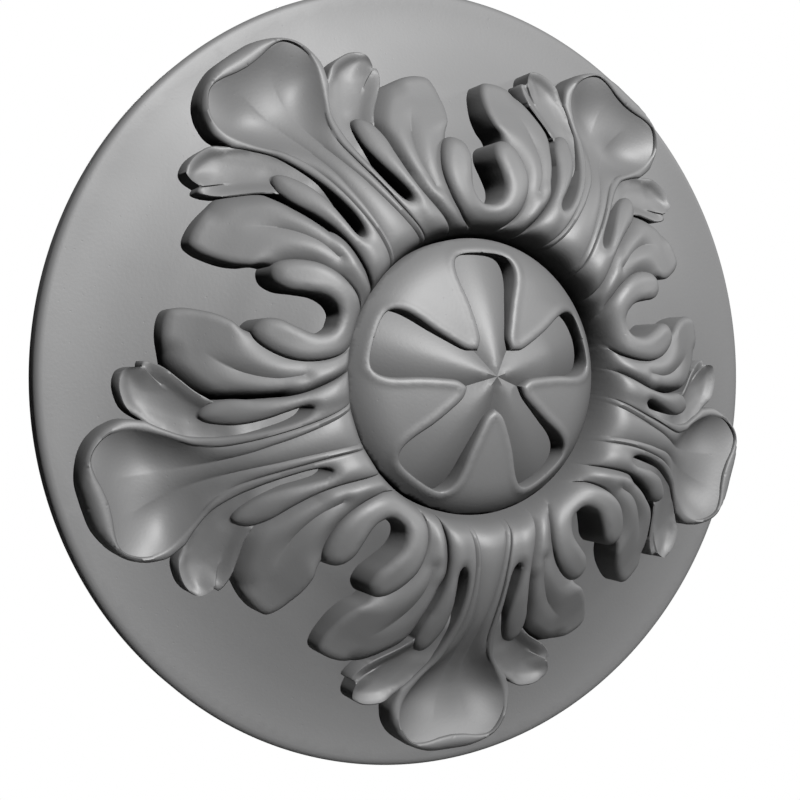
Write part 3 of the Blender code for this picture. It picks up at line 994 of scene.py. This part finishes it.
@dataclass
class Studio:
    """A pale floor before a white surround, and a tall soft light from above in front."""

    floor_level: float = -3.0
    floor_size: float = 9.0
    floor_tone: float = 0.85
    floor_roughness: float = 0.9
    lamp_distance: float = 2.6
    lamp_size: float = 0.5
    key_width: float = 0.2
    key_height: float = 1.2
    key_from: tuple = (0.0, -0.85, 0.53)
    key_power: float = 66.0
    side_from: tuple = (0.90, -0.15, 0.42)
    side_power: float = 9.0
    back_from: tuple = (0.15, 0.95, 0.25)
    back_power: float = 45.0
    fill: float = 0.012

    def floor(self) -> bpy.types.Object:
        """The plain floor.

        Returns:
            The floor.
        """
        bpy.ops.object.select_all(action="DESELECT")
        bpy.ops.mesh.primitive_plane_add(size=self.floor_size, location=(0, 0, self.floor_level))
        plane = bpy.context.object
        plane.name = "floor"
        paint = bpy.data.materials.new("pale_floor")
        paint.use_nodes = True
        shader = paint.node_tree.nodes["Principled BSDF"]
        shader.inputs["Base Color"].default_value = (*[self.floor_tone] * 3, 1)
        shader.inputs["Roughness"].default_value = self.floor_roughness
        plane.data.materials.append(paint)
        return plane

    def lamp(self, name: str, side: tuple, power: float) -> bpy.types.Light:
        """A round soft light that points at the rosette.

        Args:
            name: the light's name.
            side: the direction that it shines from.
            power: its power in watts.

        Returns:
            The light's data.
        """
        data = bpy.data.lights.new(name, "AREA")
        data.shape = "DISK"
        data.size = self.lamp_size
        data.energy = power
        light = bpy.data.objects.new(name, data)
        light.location = Vector(side).normalized() * self.lamp_distance
        light.rotation_euler = light.location.to_track_quat("Z", "Y").to_euler()
        bpy.context.scene.collection.objects.link(light)
        return data

    def light(self) -> None:
        """A shadowless key in front, weaker lights beside and behind, and a white surround."""
        key = self.lamp("key", self.key_from, self.key_power)
        key.shape = "ELLIPSE"
        key.size, key.size_y = self.key_width, self.key_height
        key.use_shadow = False
        key.cycles.max_bounces = 0
        self.lamp("side", self.side_from, self.side_power)
        self.lamp("back", self.back_from, self.back_power)
        world = bpy.data.worlds.new("studio")
        world.use_nodes = True
        nodes, links = world.node_tree.nodes, world.node_tree.links
        dim = nodes["Background"]
        dim.inputs["Color"].default_value = (1, 1, 1, 1)
        dim.inputs["Strength"].default_value = self.fill
        white = nodes.new("ShaderNodeBackground")
        white.inputs["Color"].default_value = (1, 1, 1, 1)
        seen = nodes.new("ShaderNodeMixShader")
        links.new(nodes.new("ShaderNodeLightPath").outputs["Is Camera Ray"], seen.inputs["Fac"])
        links.new(dim.outputs["Background"], seen.inputs[1])
        links.new(white.outputs["Background"], seen.inputs[2])
        links.new(seen.outputs["Shader"], nodes["World Output"].inputs["Surface"])
        bpy.context.scene.world = world
        bpy.context.scene.view_settings.view_transform = "Standard"


@dataclass
class PhotoCamera:
    """The photograph's camera, in disc radii from the middle of the disc's face."""

    place: tuple = (-1.4897, 0.0154, 3.0215)
    forward: tuple = (0.4442, 0.0052, -0.8959)
    up: tuple = (0.0017, 1.0, 0.0066)
    lens: float = 58.55
    sensor_width: float = 36.0
    shift: tuple = (-0.0447, -0.0455)

    def aim(self, radius: float, face: float) -> None:
        """Sets the scene's camera.

        Args:
            radius: the disc's radius, in metres.
            face: where the disc's face is along Y.
        """
        data = bpy.data.cameras.new("photo_camera")
        data.lens = self.lens
        data.sensor_width = self.sensor_width
        data.shift_x, data.shift_y = self.shift
        camera = bpy.data.objects.new("photo_camera", data)
        bpy.context.scene.collection.objects.link(camera)

        def world(x: float, y: float, z: float) -> Vector:
            """A direction with z out of the disc, as it stands against the wall."""
            return Vector((x, -z, y))

        back = -world(*self.forward).normalized()
        right = world(*self.up).cross(back).normalized()
        turn = Matrix((right, back.cross(right), back)).transposed()
        place = world(*self.place) * radius + Vector((0, face, 0))
        camera.matrix_world = Matrix.Translation(place) @ turn.to_4x4()
        bpy.context.scene.camera = camera


def main() -> None:
    """Builds the studio, the camera and the dressed rosette, and notes the sizes."""
    logging.basicConfig(level=logging.INFO, format="%(name)s: %(message)s")
    low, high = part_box(NODE)
    rosette = RosetteCasting()
    PhotoCamera().aim(0.5 * (high.x - low.x), high.y - rosette.disc_thickness * MM)
    studio = Studio()
    studio.floor()
    studio.light()
    casting = rosette.build(PlasterFinish())
    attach(casting, "root")
    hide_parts(NODE)


if __name__ == "__main__":
    main()
